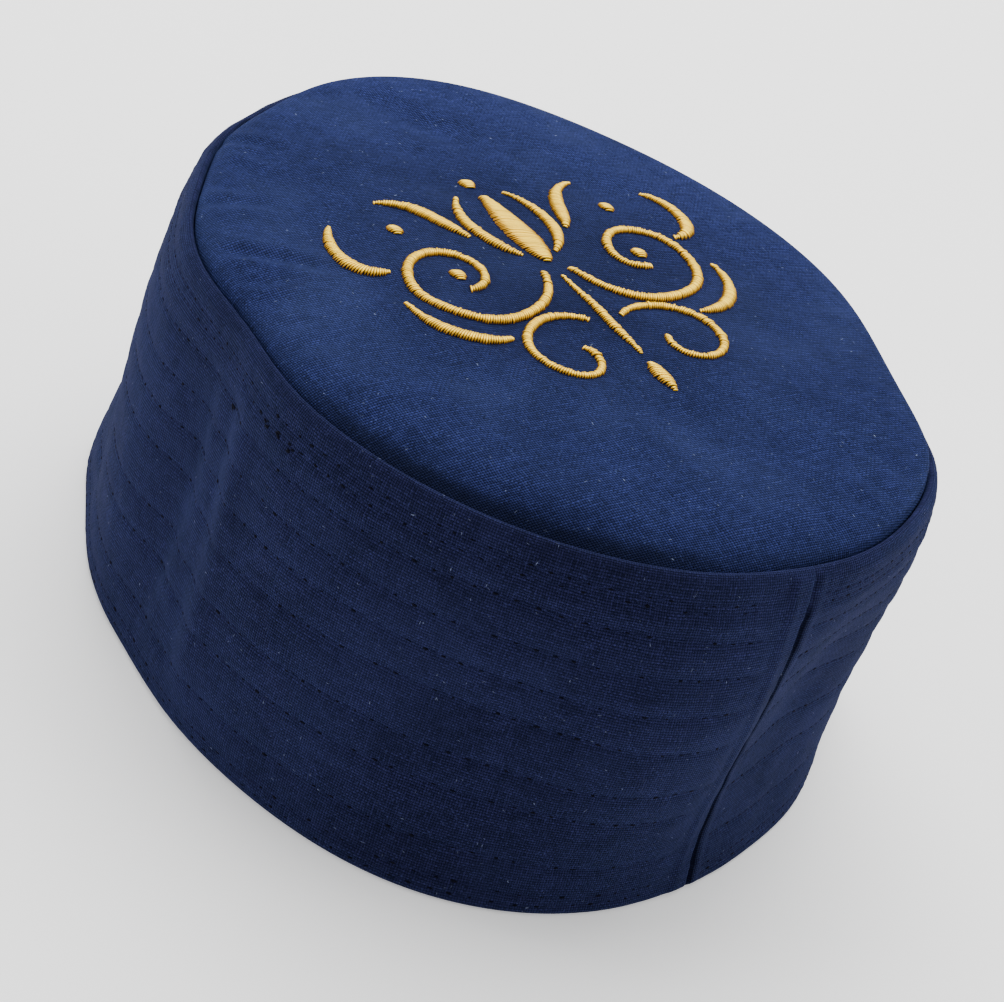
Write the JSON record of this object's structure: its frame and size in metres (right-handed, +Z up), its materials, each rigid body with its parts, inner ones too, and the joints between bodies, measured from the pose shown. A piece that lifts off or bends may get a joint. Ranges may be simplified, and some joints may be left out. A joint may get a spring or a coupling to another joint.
{
  "type": "kufi cap",
  "caption": "Brimless cloth cap: an upright quilted band under a gently domed oval crown panel with a raised gold ornament, open below for the head.",
  "frame": {"origin": "middle of the part's bounding box in plan, on the surface that the hem rests on", "axes": "+Z up to the crown, front of the cap to -Y, back seam at +Y, the wearer's left side to +X"},
  "size_m": [0.1728, 0.1998, 0.095],
  "materials": {
    "band_cloth": "matt plain-weave navy cloth, quilted in stitched rows",
    "crown_cloth": "matt plain-weave navy cloth with pale slubs and lint",
    "gold_thread": "satin-stitched gold thread with a soft sheen"
  },
  "bodies": {
    "root": {"side_band": "band_cloth", "crown_panel": "crown_cloth", "embroidery_bud": "gold_thread", "embroidery_stem": "gold_thread", "embroidery_drop": "gold_thread", "embroidery_top_dot": "gold_thread", "embroidery_scroll_right": "gold_thread", "embroidery_scroll_left": "gold_thread", "embroidery_base_scroll_right": "gold_thread", "embroidery_base_scroll_left": "gold_thread", "embroidery_sepal_right": "gold_thread", "embroidery_sepal_left": "gold_thread", "embroidery_crest_leaf_right": "gold_thread", "embroidery_crest_leaf_left": "gold_thread", "embroidery_wing_leaf_right": "gold_thread", "embroidery_wing_leaf_left": "gold_thread", "embroidery_under_leaf_right": "gold_thread", "embroidery_under_leaf_left": "gold_thread", "embroidery_scroll_eye_right": "gold_thread", "embroidery_scroll_eye_left": "gold_thread", "embroidery_side_dot_right": "gold_thread", "embroidery_side_dot_left": "gold_thread"}
  },
  "joints": []
}
